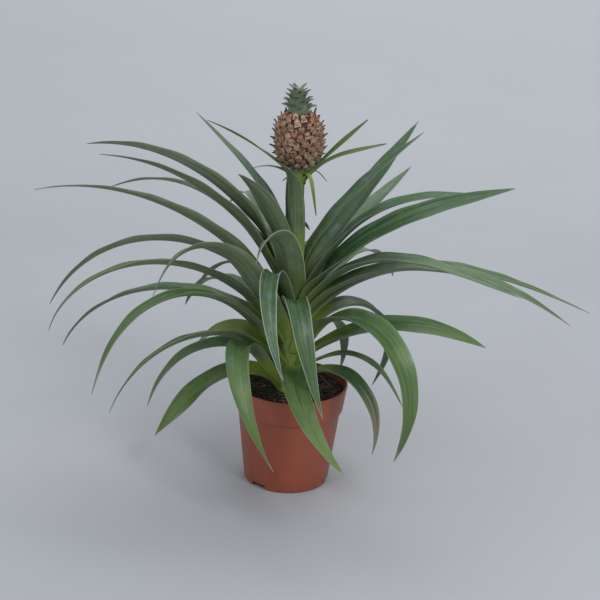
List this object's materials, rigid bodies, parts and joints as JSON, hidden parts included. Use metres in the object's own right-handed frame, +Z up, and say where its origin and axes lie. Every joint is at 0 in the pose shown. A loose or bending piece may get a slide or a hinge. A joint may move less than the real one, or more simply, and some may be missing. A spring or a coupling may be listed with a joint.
{
  "type": "potted pineapple plant",
  "caption": "Young pineapple plant with arching strap leaves and a small crowned fruit on a stalk, growing in a tapered plastic nursery pot.",
  "frame": {"origin": "centre of the pot's underside, on the surface that the pot stands on", "axes": "+Z up along the pot's axis; -Y towards the side that the plant is seen from, where two folded leaves hang forward; +X to the right of that view"},
  "size_m": [0.5809, 0.4335, 0.4269],
  "materials": {
    "pot": "satin terracotta-coloured plastic",
    "compost": null,
    "stalk": null,
    "leaf": null,
    "fruit": null,
    "crown": null
  },
  "bodies": {
    "root": {"pot": "pot", "soil": "compost", "stalk": "stalk", "leaf_01": "leaf", "leaf_02": "leaf", "leaf_03": "leaf", "leaf_04": "leaf", "leaf_05": "leaf", "leaf_06": "leaf", "leaf_07": "leaf", "leaf_08": "leaf", "leaf_09": "leaf", "leaf_10": "leaf", "leaf_11": "leaf", "leaf_12": "leaf", "leaf_13": "leaf", "leaf_14": "leaf", "leaf_15": "leaf", "leaf_16": "leaf", "leaf_17": "leaf", "leaf_18": "leaf", "leaf_19": "leaf", "leaf_20": "leaf", "leaf_21": "leaf", "leaf_22": "leaf", "leaf_23": "leaf", "leaf_24": "leaf", "leaf_25": "leaf", "leaf_26": "leaf", "leaf_27": "leaf", "leaf_28": "leaf", "leaf_29": "leaf", "leaf_30": "leaf", "leaf_31": "leaf", "leaf_32": "leaf", "leaf_33": "leaf", "leaf_34": "leaf", "leaf_35": "leaf", "leaf_36": "leaf", "leaf_37": "leaf", "leaf_38": "leaf", "leaf_39": "leaf", "leaf_40": "leaf", "leaf_41": "leaf", "leaf_42": "leaf", "leaf_43": "leaf", "leaf_44": "leaf", "fruit": "fruit", "crown": "crown"}
  },
  "joints": []
}
